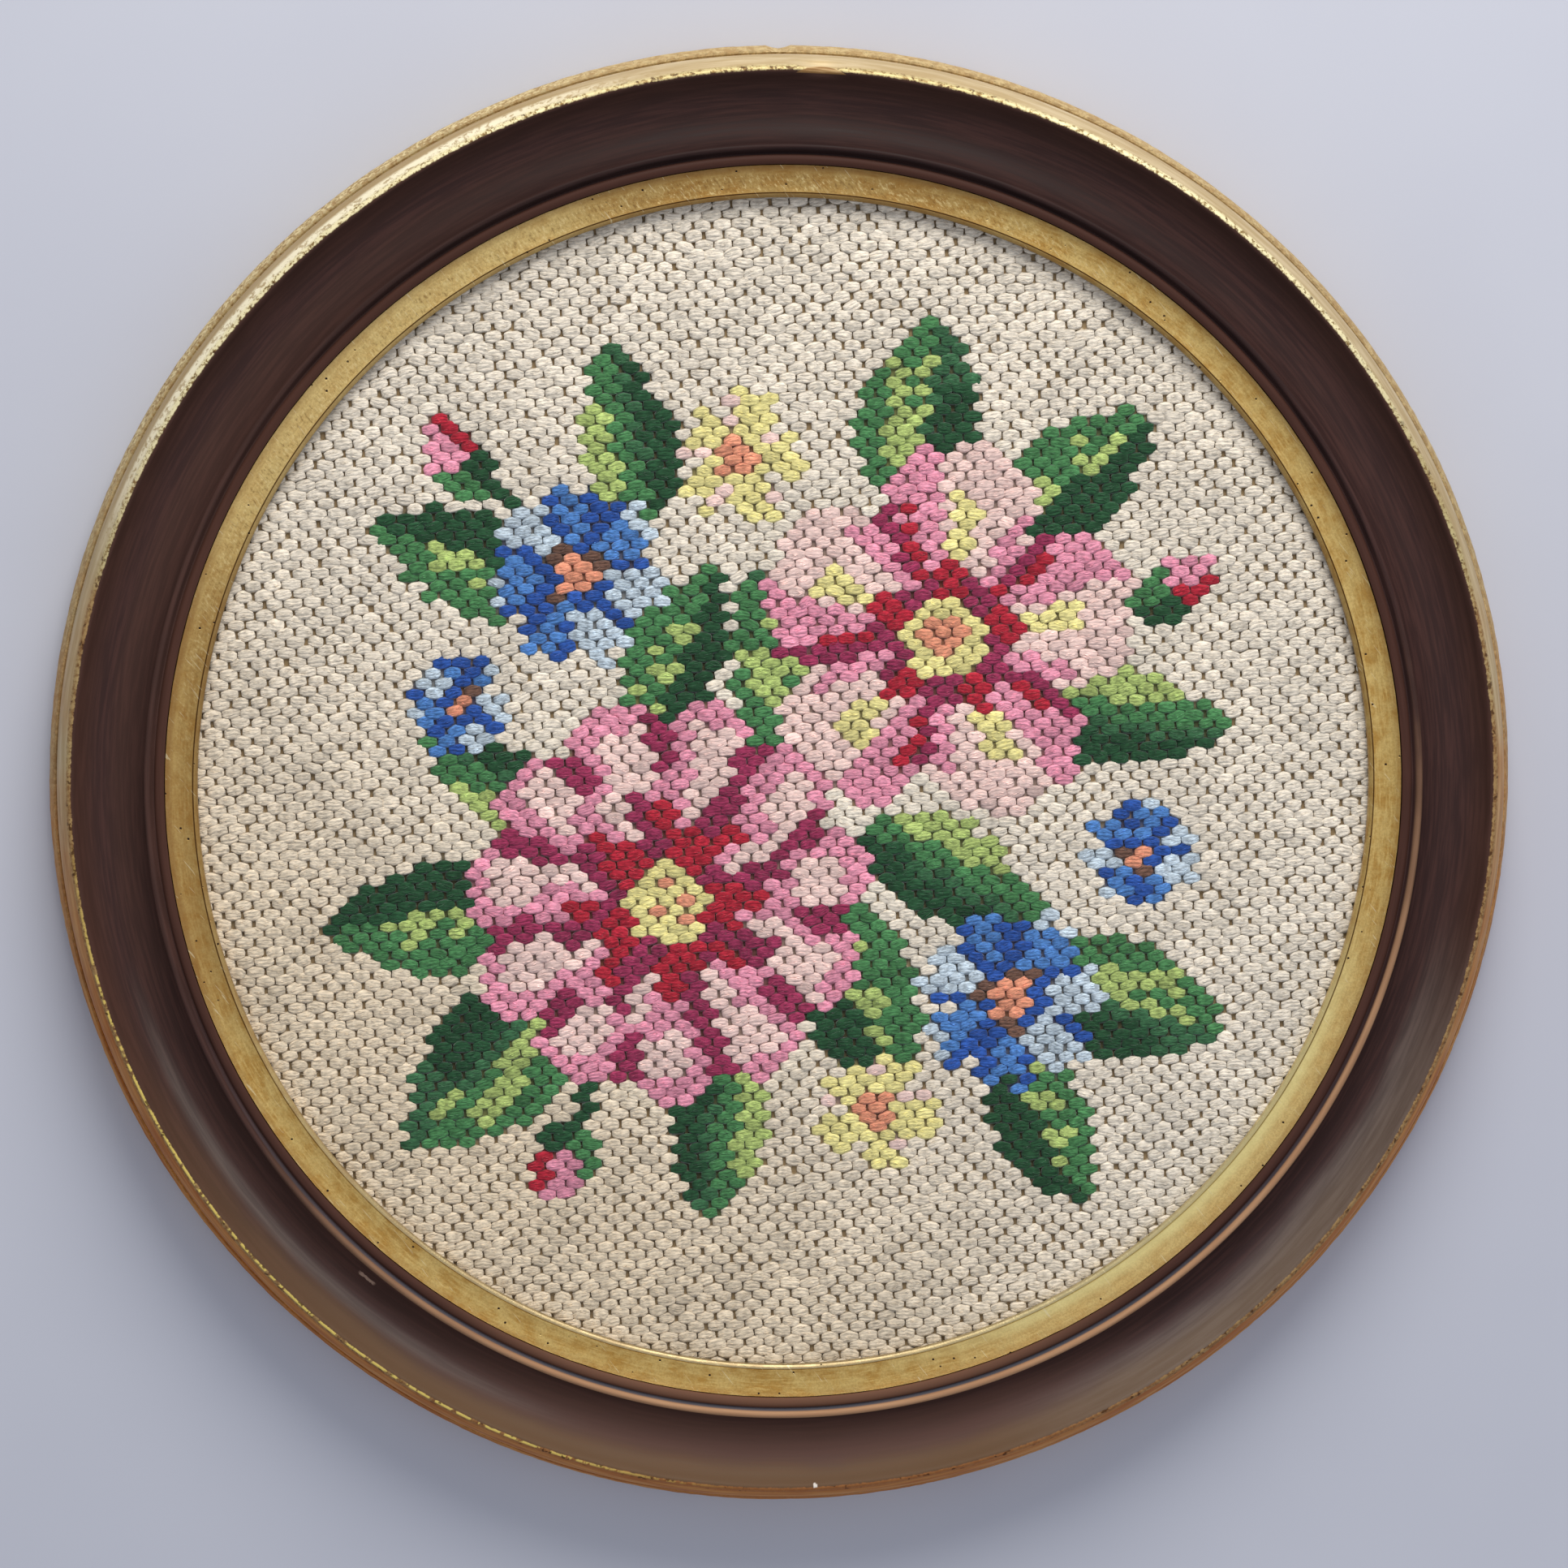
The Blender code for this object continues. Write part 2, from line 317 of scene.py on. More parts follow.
    # painted highlights: bright leaf on both shoulders, and on the left one on flank and band too, with
    # painted shade on the flank's foot and dark specks in the band there
    upperLeft = within(tree, (facing(tree, direction, -0.66, 0.75), 0.84, 0.97))
    shoulders = eitherOf(tree, [upperLeft], [(facing(tree, direction, 0.62, 0.78), 0.90, 0.98)])
    crest = paintOver(tree, crest, "#fff4c6", shoulders, (radius, 125.1, 125.3),
                      (radius, 126.6, 126.1), (speck, 0.40, 0.54), 0.8)
    flank = paintOver(tree, flank, "#9c7f50", upperLeft, (radius, 126.9, 127.5), 0.55)
    flank = paintOver(tree, flank, "#fff6d6", upperLeft, (radius, 127.4, 126.8), (worn, 0.38, 0.50), 0.85)
    band = paintOver(tree, band, "#f6e8b6", upperLeft, (speck, 0.48, 0.58), 0.6)
    band = paintOver(tree, band, "#755730", upperLeft, (speck, 0.46, 0.38), 0.6)
    gilt = paintOver(tree, flank, band, bandZone)
    gilt = paintOver(tree, gilt, crest, crestZone)
    # darker specks in the step between band and flank
    gilt = paintOver(tree, gilt, "#4a341c", (height, 7.7, 8.0), (height, 8.9, 8.2),
                     (speck, 0.42, 0.58), 0.3)

    # where leaf ends and stain begins: a slightly broken line on the crest
    wander = addNode(tree, "Math", (speck, 0.7, -0.35), operation="MULTIPLY_ADD")
    edge = addNode(tree, "Math", (radius, wander), operation="ADD")
    isGilt = within(tree, (edge, 125.05, 125.3), (radius, 117.0, 118.0))
    color = paintOver(tree, stain, gilt, isGilt)

    # bare wood in the chip: a lens on the inner edge of the crest
    middle, sweep = math.radians(m["chipAngle"]), math.radians(m["chipSweep"])
    away = addNode(tree, "Math", (1.0, facing(tree, direction, math.cos(middle), math.sin(middle))),
                   operation="SUBTRACT")
    lens = addNode(tree, "Math", (away, 2.4 / sweep ** 2, radius), operation="MULTIPLY_ADD")
    chip = within(tree, (lens, 126.0, 125.85), (radius, 124.65, 124.8))
    color = paintOver(tree, color, paintOver(tree, "#8c683e", "#cbaa7a", (streaks, 0.42, 0.58)), chip)
    # two small scars: a pale scrape in the hollow and a white fleck under the crest
    for x, y, reach, halfLength, halfWidth, hexText in m["scars"]:
        length = math.hypot(x, y)
        along = facing(tree, direction, x / length, y / length)
        off = addNode(tree, "Math", (edge, reach), operation="SUBTRACT")
        off = addNode(tree, "Math", (off,), operation="ABSOLUTE")
        color = paintOver(tree, color, hexText,
                          (along, math.cos(1.2 * halfLength / reach), math.cos(0.7 * halfLength / reach)),
                          (off, 1.3 * halfWidth, 0.7 * halfWidth))
    # raw wood at the back
    color = paintOver(tree, color, paintOver(tree, "#8d6c4a", "#b18f66", streaks), (height, 0.5, 0.1))

    unchipped = addNode(tree, "Math", (1.0, chip), operation="SUBTRACT")
    metal = addNode(tree, "Math", (crestZone, 0.12, 0.22), operation="MULTIPLY_ADD")
    leafGloss = addNode(tree, "Math", (bandZone, 0.1, 0.5), operation="MULTIPLY_ADD")
    waxed = within(tree, (streaks, 0.3, 0.7, 0.50, 0.62))
    roughness = addNode(tree, "Mix", {0: isGilt, 2: waxed, 3: leafGloss}, data_type="FLOAT")
    rough = within(tree, isGilt, bandZone, speck, 1.6)
    relief = addNode(tree, "Math", (streaks, 0.25, rough), operation="MULTIPLY_ADD")
    joinShader(tree, shader, color, relief, 0.5, 0.12, Roughness=roughness,
               Metallic=within(tree, isGilt, (height, 0.1, 0.5), unchipped, metal))
    return material


def carveChip(ring, m):
    # a sliver of wood that is gone from the crest near the top, and a nick in the band by it
    for corner in ring.data.vertices:
        angle, reach = math.degrees(math.atan2(corner.co.y, corner.co.x)), corner.co.xy.length / mm
        off = abs(angle - m["chipAngle"]) / m["chipSweep"]
        onCrest = corner.co.z > m["chipFloor"] * mm and m["chipReach"][0] < reach < m["chipReach"][1]
        if off < 1 and onCrest:
            corner.co.z -= m["chipDepth"] * mm * (1 - off ** 2)
        off = abs(angle - m["nickAngle"]) / m["nickSweep"]
        if off < 1 and reach > m["nickReach"]:
            corner.co.xy *= 1 - m["nickDepth"] / reach * (1 - off ** 2)


frameRing = turnRing("frameRing", mouldingSection(moulding), moulding["segments"])
for zone in moulding["rough"]:
    roughen(frameRing, *zone)
carveChip(frameRing, moulding)
frameRing.data.materials.append(turnedWoodFinish(moulding))
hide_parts("frame_moulding")
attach(frameRing, "root")
print("moulding turned", len(frameRing.data.polygons), "faces")

# the gilt liner round the picture

liner = {
    "segments": 540,
    "flangeEdge": 112.3, "bottom": 13.0, "flangeTop": 14.1,
    "faceEdge": (108.9, 15.4), "dish": 0.26, "faceFoot": (104.25, 14.75),
    "quirk": (104.15, 14.6), "beadOuter": (104.05, 14.72), "sight": (103.4, 14.4), "beadRise": 0.06,
    "sightFoot": 13.8,
    "rough": ("wornLiner", (100.0, 113.0), (14.5, 16.0), 1.0, 0.16, 2.4),  # as the moulding's
}


def linerSection(m):
    return [
        (m["flangeEdge"], m["bottom"]), (m["flangeEdge"], m["flangeTop"]),
        (m["faceEdge"][0], m["flangeTop"]), m["faceEdge"],
        *bulged(m["faceEdge"], m["faceFoot"], -m["dish"], 12), m["faceFoot"],
        m["quirk"], m["beadOuter"],
        *bulged(m["beadOuter"], m["sight"], m["beadRise"], 6), m["sight"],
        (m["sight"][0], m["sightFoot"]), (m["sight"][0], m["bottom"]),
    ]


def oldLeafFinish():
    # old gold leaf on gesso: warm metal, mottled where the ground shows, pitted and scratched
    material, tree, shader = newMaterial("oldGoldLeaf", {"Metallic": 0.6})
    place, radius, height, direction = ringPlaces(tree)
    upward, downward = facing(tree, direction, 0.0, 1.0), facing(tree, direction, 0.0, -1.0)
    slanted = addNode(tree, "Mapping", {"Vector": place, "Rotation": (0.0, 0.0, 0.9)})
    scored = addNode(tree, "Mapping", {"Vector": slanted, "Scale": (0.2, 3.0, 1.0)})
    hatched = addNode(tree, "Mapping", {"Vector": slanted, "Scale": (0.9, 2.0, 1.0)})
    turned = turnedVector(tree, direction, radius, 30.0, 2.4)
    mottled, grain, brushed, scratches, folds = [
        addNode(tree, "TexNoise", {"Vector": vector, "Scale": scale, "Detail": detail, "Roughness": rough})
        for vector, scale, detail, rough in ((place, 0.30, 4.0, 0.62), (place, 2.6, 3.0, 0.6),
                                             (turned, 1.0, 3.0, 0.6), (scored, 1.0, 2.0, 0.5),
                                             (hatched, 1.0, 4.0, 0.65))]
    color = paintOver(tree, "#bc9044", "#d8b66c", (mottled, 0.34, 0.66))
    color = paintOver(tree, color, "#efd083", (brushed, 0.40, 0.70, 0.0, 0.5))
    # painted sheen on two sides, with fine mottling all over, and a painted highlight on the edge towards
    # the picture at the lower right
    lowerRight = facing(tree, direction, 0.7071, -0.7071)
    twoSides = addNode(tree, "Math", (lowerRight,), operation="ABSOLUTE")
    color = paintOver(tree, color, "#f8dc96", (twoSides, 0.80, 1.0), 0.4)
    color = paintOver(tree, color, "#8a6428", (grain, 0.56, 0.40, 0.0, 0.2))
    color = paintOver(tree, color, "#fff2a6", (lowerRight, 0.80, 1.0), (radius, 106.8, 104.8), 0.55)
    # painted shade at the top, at the left and along the outer edge
    shadedSides = eitherOf(tree, [(upward, 0.90, 0.99)], [(facing(tree, direction, -1.0, 0.0), 0.88, 0.98)])
    outerEdge = within(tree, (radius, 107.4, 108.5, 0.0, 0.3))
    linerShade = addNode(tree, "Math", (shadedSides, 0.45, outerEdge), operation="MULTIPLY_ADD")
    color = paintOver(tree, color, "#8f632e", linerShade)
    # the bead next to the picture has a greyer painted reflection below and painted shade above, and a
    # painted shadow line, darker at the top, parts it from the face
    onBead = (radius, 104.2, 104.0)
    color = paintOver(tree, color, "#a89c7e", onBead, (downward, 0.0, 0.9), 0.7)
    color = paintOver(tree, color, "#7a5a32", onBead, (upward, -0.5, 0.3), 0.5)
    color = paintOver(tree, color, "#5e3c1c", (radius, 104.0, 104.1), (radius, 104.35, 104.2),
                      (downward, 0.75, 0.2, 0.25, 0.8))
    color = paintOver(tree, color, "#f6e8bc", (scratches, 0.68, 0.72), 0.4)
    # the leaf is crinkled towards the upper left, painted with shade in the folds and bright painted
    # highlights on the raised creases
    crinkled = within(tree, (facing(tree, direction, -0.38, 0.92), 0.2, 0.9),
                      (radius, 107.9, 107.0), (radius, 104.3, 104.7))
    color = paintOver(tree, color, "#7a5526", crinkled, (folds, 0.46, 0.34), 0.5)
    color = paintOver(tree, color, "#f8e0a0", crinkled, (folds, 0.52, 0.68), 0.6)
    # dark pits in some of the cells of a fine scatter
    inCell = addNode(tree, "TexVoronoi", {"Vector": place, "Scale": 0.8, "Randomness": 1.0}, "Distance")
    chosen = addNode(tree, "SeparateColor", (inCell.node.outputs["Color"],))
    pit = within(tree, (inCell, 0.20, 0.12), (chosen, 0.86, 0.89))
    color = paintOver(tree, color, "#2c1a0e", pit)
    relief = addNode(tree, "Math", (grain, 0.6), operation="MULTIPLY")
    relief = addNode(tree, "Math", (pit, -2.0, relief), operation="MULTIPLY_ADD")
    joinShader(tree, shader, color, relief, 0.55, 0.12,
               Roughness=within(tree, (mottled, 0.3, 0.7, 0.48, 0.36)))
    return material


linerRing = turnRing("gildedLiner", linerSection(liner), liner["segments"])
roughen(linerRing, *liner["rough"])
linerRing.data.materials.append(oldLeafFinish())
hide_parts("sight_liner")
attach(linerRing, "root")
print("liner turned", len(linerRing.data.polygons), "faces")

# the posy, worked out stitch by stitch. Each motif gives a yarn for a place (u, v) that
# runs from -1 to 1 over its own size

yarns = {
    "cream": "#f6ebd9", "paleBlue": "#c8d7e2", "blue": "#5385c6", "deepBlue": "#2f57a6",
    "palePink": "#ffded5", "pink": "#f09fb6", "red": "#b4283a", "wine": "#9c3559",
    "yellow": "#f6eb9f", "coral": "#eea080", "brown": "#735548",
    "lime": "#b2c676", "green": "#4c8452", "greyGreen": "#3c6a47", "deepGreen": "#285134",
}


def petalPhase(u, v, count, shift=0.0):
    # -0.5 to 0.5 across a petal, and which petal it is
    turn = math.atan2(v, u) * count / (2 * math.pi) + shift
    return turn - round(turn), round(turn) % count


def dahlia(u, v):
    reach = math.hypot(u, v)
    outer = petalPhase(u, v, 11)[0]
    middle = petalPhase(u, v, 8, 0.35)[0]
    heart = petalPhase(u, v, 5, 0.2)[0]
    if reach > 1.0 - 0.16 * (2 * abs(outer)) ** 3:
        return None
    if reach > 0.66 - 0.12 * (2 * abs(middle)) ** 2:
        if abs(outer) > 0.36 and reach < 0.91:
            return "wine"
        return "pink" if reach > 0.88 or outer > 0.17 else "palePink"
    if reach > 0.37 - 0.08 * (2 * abs(heart)) ** 2:
        if abs(middle) > 0.34:
            return "wine"
        if middle < -0.12:
            return "palePink"
        return "red" if reach < 0.50 and middle > 0.02 else "pink"
    if reach > 0.20:
        return "wine" if abs(heart) > 0.3 else "red"
    return "coral" if heart > 0 and reach < 0.13 else "yellow"


def mallow(u, v):
    # five broad petals, each lapping over the next
    reach = math.hypot(u, v)
    across = petalPhase(u, v, 5, 0.05)[0]
    rim = 1.0 - 0.30 * (2 * abs(across)) ** 3 + 0.03 * math.cos(17 * math.atan2(v, u))
    if reach > rim:
        return None
    if reach < 0.22:
        return "coral" if reach < 0.12 else "yellow"
    if reach < 0.30 + 0.14 * (1 - 2 * abs(across)):
        return "wine" if abs(across) > 0.2 else "red"
    if across > 0.40:
        return "wine"
    if across > 0.30:
        return "red" if reach < 0.78 * rim else "pink"
    if reach > 0.86 * rim:
        return "palePink" if across < 0.1 else "pink"
    if abs(across + 0.03) < 0.10 and reach < 0.74:
        return "yellow"
    return "pink" if across > 0.12 or across < -0.33 else "palePink"


def cornflower(u, v):
    reach = math.hypot(u, v)
    notch, floret = petalPhase(u, v, 7, 0.1)
    if reach > 0.56 + 0.44 * (1 - 2 * abs(notch)) ** 0.5 - 0.18 * (abs(notch) < 0.10):
        return None
    if reach < 0.20:
        return "coral"
    if reach < 0.34:
        return "brown" if floret % 2 else "deepBlue"
    if notch > 0.27:
        return "deepBlue"
    if floret % 3 == 0:
        return "paleBlue"
    if floret % 3 == 1:
        return "blue" if reach < 0.75 else "paleBlue"
    return "blue" if notch > -0.2 else "deepBlue"


def primrose(u, v):
    reach = math.hypot(u, v)
    across = petalPhase(u, v, 5, 0.2)[0]
    if reach > 1.0 - 0.5 * (2 * abs(across)) ** 3 - 0.16 * (abs(across) < 0.10):
        return None
    if reach < 0.30:
        return "coral"
    return "palePink" if across > 0.25 and reach > 0.5 else "yellow"


def leafEdge(u, width, teeth):
    # half the leaf's width where u runs from the stalk, -1, to the tip, 1
    return width * (1 - u * u) ** 0.75 * (1 - 0.28 * u) * (1 + 0.13 * (u * teeth % 1.0))


def broadLeaf(u, v):
    # lime rib and a lime patch on the lit half
    if abs(u) >= 1 or abs(v) > leafEdge(u, 0.56, 3.1):
        return None
    if abs(v) < 0.055 and u < 0.7:
        return "lime"
    if v > 0:
        return "lime" if -0.55 < u < 0.45 and 0.10 < v - 0.25 * u < 0.34 else "green"
    return "greyGreen" if u > 0.35 or v > -0.16 else "deepGreen"


def darkLeaf(u, v):
    # one dark half, one green with short lime veins
    if abs(u) >= 1 or abs(v) > leafEdge(u, 0.50, 3.6):
        return None
    if abs(v) < 0.05 and -0.8 < u < 0.55:
        return "lime"
    if v < 0:
        return "deepGreen"
    vein = (u - 0.9 * v) * 2.2
    return "lime" if abs(vein - round(vein)) < 0.17 and v < 0.26 and u < 0.4 else "green"


def halfLeaf(u, v):
    # seen half from the side: lime along one edge
    if abs(u) >= 1 or abs(v) > leafEdge(u, 0.44, 2.6):
        return None
    if v > 0.17 and u < 0.5:
        return "lime"
    if v > -0.04:
        return "green"
    return "deepGreen" if v < -0.15 or u < -0.4 else "greyGreen"


def bud(u, v):
    # v runs from the stalk to the tip
    if (u / (0.62 - 0.18 * v)) ** 2 + v * v > 1:
        return None
    if v < -0.30 + 0.6 * abs(u):
        return "green" if u < 0 else "deepGreen"
    return "red" if u > 0.12 else "pink"


def stalk(u, v):
    return "deepGreen" if abs(u) <= 1 and abs(v - 0.15 * (1 - u * u)) < 0.17 else None


# front to back: motif, x and y of its middle, half its size in millimetres, angle
posy = [
    (dahlia, -21, -20, 36, 10), (mallow, 28, 26, 33.5, 15),
    (cornflower, 40, -38.1, 18.6, 12), (cornflower, -37.2, 38.1, 17.7, -8),
    (cornflower, 63.2, -13, 11.2, 40), (cornflower, -57.7, 15.8, 10.2, 0),
    (primrose, -8.4, 57.7, 12.1, 20), (primrose, 15.8, -57.7, 11.2, 10),
    (bud, -57.7, 58.6, 8.4, 40), (bud, 68.8, 34.4, 8.4, -55), (bud, -40, -66, 8.4, 150),
    (stalk, -47.4, 48.4, 8.4, -39), (stalk, 57.7, 27.9, 7.4, 25), (stalk, -34.4, -53.9, 8.4, 76),
    (broadLeaf, 3.7, 18.6, 22.3, 118), (broadLeaf, 23.3, 65.1, 17.7, 78),
    (darkLeaf, 51.2, 53.9, 17.7, 40), (halfLeaf, 61.4, 11.2, 17.7, -6),
    (broadLeaf, 61.4, -39.1, 17.7, -18), (darkLeaf, 46.5, -61.4, 15.8, -62),
    (darkLeaf, 12.1, -36.3, 20.5, -60), (halfLeaf, -12.1, -61.4, 16.7, -94),
    (broadLeaf, -53, -49.3, 19.5, 225), (darkLeaf, -63.2, -22.3, 18.6, 186),
    (halfLeaf, -51.2, 1.9, 14.9, 150), (darkLeaf, -56.7, 40.9, 16.7, 158),
    (halfLeaf, -27.9, 62.3, 16.7, 105), (darkLeaf, -18.6, 25.1, 15.8, 66),
    (halfLeaf, 29.8, -15.8, 18.6, -28),
]


def yarnAt(x, y):
    for motif, cx, cy, size, angle in posy:
        turn = math.radians(angle)
        dx, dy = (x - cx) / size, (y - cy) / size
        found = motif(dx * math.cos(turn) + dy * math.sin(turn), dy * math.cos(turn) - dx * math.sin(turn))
        if found:
            return found
    return "cream"


# the canvas is set on the diagonal, so tent stitches lie in level brick rows

weave = {
    "pitch": 2.4,  # between threads, 10.6 to the inch
    "turn": 2.6,  # degrees that the rows climb to the right
    "bow": 0.9,  # how far the rows sag
    "threadEdge": 0.66, "holeDepth": 0.3,
    "radius": 112.3, "rimWidth": 0.9, "top": 12.2, "bottom": 10.95,
    "groundTone": "#d9cbb2", "printShadeGain": 0.38,
    "groundHoles": 0.9, "printHoles": 0.2,  # how brown the holes are
}


def bowed(x, y):
    return y + weave["bow"] * math.sin(x / 62.0 + y / 95.0)


def layCanvas(w):
    # a grid of square cells, each inset and pushed down to leave a hole between threads
    cells = 2 * math.ceil(w["radius"] / w["pitch"])
    deselectAll()
    bpy.ops.mesh.primitive_grid_add(x_subdivisions=cells, y_subdivisions=cells,
                                    size=cells * w["pitch"] * mm, location=(0, 0, w["top"] * mm),
                                    rotation=(0, 0, math.radians(45 + w["turn"])))
    cloth = bpy.context.object
    cloth.name = cloth.data.name = "canvasCloth"
    bpy.ops.object.transform_apply(location=True, rotation=True, scale=True)
    bpy.ops.object.mode_set(mode="EDIT")
    bpy.ops.mesh.select_all(action="DESELECT")
    bpy.ops.object.mode_set(mode="OBJECT")
    for cell in cloth.data.polygons:
        cell.select = cell.center.xy.length > (w["radius"] - w["rimWidth"]) * mm
    bpy.ops.object.mode_set(mode="EDIT")
    bpy.ops.mesh.select_mode(type="FACE")
    bpy.ops.mesh.delete(type="FACE")
    bpy.ops.mesh.select_all(action="SELECT")
    bpy.ops.mesh.region_to_loop()
    bpy.ops.object.mode_set(mode="OBJECT")
    for corner in cloth.data.vertices:
        if corner.select:  # the rim is cut round
            corner.co.xy = corner.co.xy.normalized() * w["radius"] * mm
        else:
            corner.co.y = bowed(corner.co.x / mm, corner.co.y / mm) * mm
    down = (0, 0, (w["bottom"] - w["top"]) * mm)
    bpy.ops.object.mode_set(mode="EDIT")
    bpy.ops.mesh.extrude_region_move(TRANSFORM_OT_translate={"value": down})
    bpy.ops.mesh.edge_face_add()
    bpy.ops.mesh.select_all(action="DESELECT")
    bpy.ops.object.mode_set(mode="OBJECT")
    nearTop = (w["top"] - 0.1) * mm
    for cell in cloth.data.polygons:
        isSquare = cell.normal.z > 0.5 and len(cell.vertices) == 4
        cell.select = isSquare and cell.center.z > nearTop
    bpy.ops.object.mode_set(mode="EDIT")
    bpy.ops.mesh.select_mode(type="FACE")
    bpy.ops.mesh.inset(thickness=w["threadEdge"] * mm, use_individual=True)
    bpy.ops.transform.translate(value=(0, 0, -w["holeDepth"] * mm))
    bpy.ops.mesh.select_all(action="SELECT")
    bpy.ops.mesh.normals_make_consistent(inside=False)
    bpy.ops.object.mode_set(mode="OBJECT")
    return cloth


def paintCanvas(cloth, w):
    # the design is printed on the canvas in each yarn's own tone, darkened as painted shade down between
    # the stitches. The fourth value says how brown the holes are
    paint = cloth.data.attributes.new("printedTone", "FLOAT_COLOR", "POINT")
    tones = []
    for corner in cloth.data.vertices:
        yarn = yarnAt(corner.co.x / mm, corner.co.y / mm)
        if yarn == "cream":
            tones += (*hexColor(w["groundTone"])[:3], w["groundHoles"])
        else:
            tones += (*hexColor(yarns[yarn], w["printShadeGain"])[:3], w["printHoles"])
    paint.data.foreach_set("color", tones)


def canvasFinish(w):
    # stiffened cotton canvas with the design printed on it: matt threads, brown in the holes
    material, tree, shader = newMaterial("printedCanvas", {"Roughness": 0.9})
    place, radius, height, direction = ringPlaces(tree)
    printed = addNode(tree, "Attribute", output="Color", attribute_name="printedTone")
    spun = addNode(tree, "TexNoise", {"Vector": place, "Scale": 3.0, "Detail": 3.0, "Roughness": 0.55})
    color = paintOver(tree, printed, "#8a7558", (spun, 0.3, 0.7, 0.0, 0.25))
    color = paintOver(tree, color, "#8f7650", (height, w["top"] - 0.12, w["top"] - w["holeDepth"]),
                      printed.node.outputs["Alpha"])
    joinShader(tree, shader, color, spun, 0.5, 0.15)
    return material


canvasCloth = layCanvas(weave)
paintCanvas(canvasCloth, weave)
canvasCloth.data.materials.append(canvasFinish(weave))
print("canvas laid", len(canvasCloth.data.polygons), "faces")

# the wool: one stitch is modelled and worked over the canvas in every colour

stitch = {
    "furrowAt": 0.34, "furrowSpacing": 0.66,
    "ply": [(-1.0, 0.30), (-0.68, 0.88), (-0.34, 0.70), (0.0, 1.0),
            (0.34, 0.70), (0.68, 0.88), (1.0, 0.30), (0.0, -0.35)],
    # along the stitch: place, half width, height above the canvas, sink. Rows lap a little,
    # so that only the slots between stitch ends show the canvas
    "spans": [(-1.46, 0.70, 0.40, -0.04), (-0.84, 1.06, 0.48, 0.0), (0.0, 1.12, 0.50, 0.0),
              (0.84, 1.06, 0.48, 0.0), (1.46, 0.70, 0.40, -0.04)],
    "tip": (1.62, -0.58), "height": 12.18, "lean": 1.5,
    # how much the stitches differ: angle, place, height, size, one end's lift, bow, roughness
    "leanSpread": 5.5, "shift": 0.08, "heightSpread": 0.03, "sizeSpread": 0.065,
    "liftSpread": 0.05, "bowSpread": 0.05, "jitter": 0.042,
    "fibres": 4, "fibreLength": (0.9, 2.0), "fibreHalf": (0.035, 0.075), "fibreLean": 0.22,
    "fibreLift": (-0.01, 0.07),
    "reach": 105.0,  # worked a little way under the liner
    "groundPieces": 2, "drift": 0.04,
    "toneSpread": (0.06, 0.10), "fibreHighlight": (1.12, 1.6),  # in the cream ground, in the posy
}


def shapeStitch(s):
    # a plump float of four-ply wool with furrows on top, narrower and lower towards both
    # ends, where it dives into the canvas
    first = s["spans"][0]
    outline = [(first[0], y * first[1], z * first[2] + first[3]) for y, z in s["ply"]]
    shape = drawOutline("oneStitch", outline)
    for here, there in zip(s["spans"], s["spans"][1:]):
        step = ((there[0] - here[0]) * mm, 0, (there[3] - here[3]) * mm)
        bpy.ops.mesh.extrude_region_move(TRANSFORM_OT_translate={"value": step})
        bpy.ops.transform.resize(value=(1, there[1] / here[1], there[2] / here[2]),
                                 center_override=(there[0] * mm, 0, there[3] * mm))
    for end in (1, -1):
        bpy.ops.mesh.select_all(action="DESELECT")
        bpy.ops.object.mode_set(mode="OBJECT")
        for corner in shape.data.vertices:
            corner.select = corner.co.x * end > s["spans"][-1][0] * mm - weld
        bpy.ops.object.mode_set(mode="EDIT")
        bpy.ops.mesh.select_mode(type="VERT")
        step = (end * (s["tip"][0] - s["spans"][-1][0]) * mm, 0, s["tip"][1] * mm)
        bpy.ops.mesh.extrude_region_move(TRANSFORM_OT_translate={"value": step})
        bpy.ops.mesh.merge(type="CENTER")
    bpy.ops.mesh.select_all(action="SELECT")
    bpy.ops.mesh.normals_make_consistent(inside=False)
    bpy.ops.object.mode_set(mode="OBJECT")
    return shape


def stitchPlaces():
    turn = math.radians(45 + weave["turn"])
    one = Vector((math.cos(turn), math.sin(turn))) * weave["pitch"]
    two = Vector((math.sin(turn), -math.cos(turn))) * weave["pitch"]
    most = int(stitch["reach"] / weave["pitch"]) + 2
    for i in range(-most, most + 1):
        for j in range(-most, most + 1):
            at = one * i + two * j
            if at.length < stitch["reach"]:
                yield at


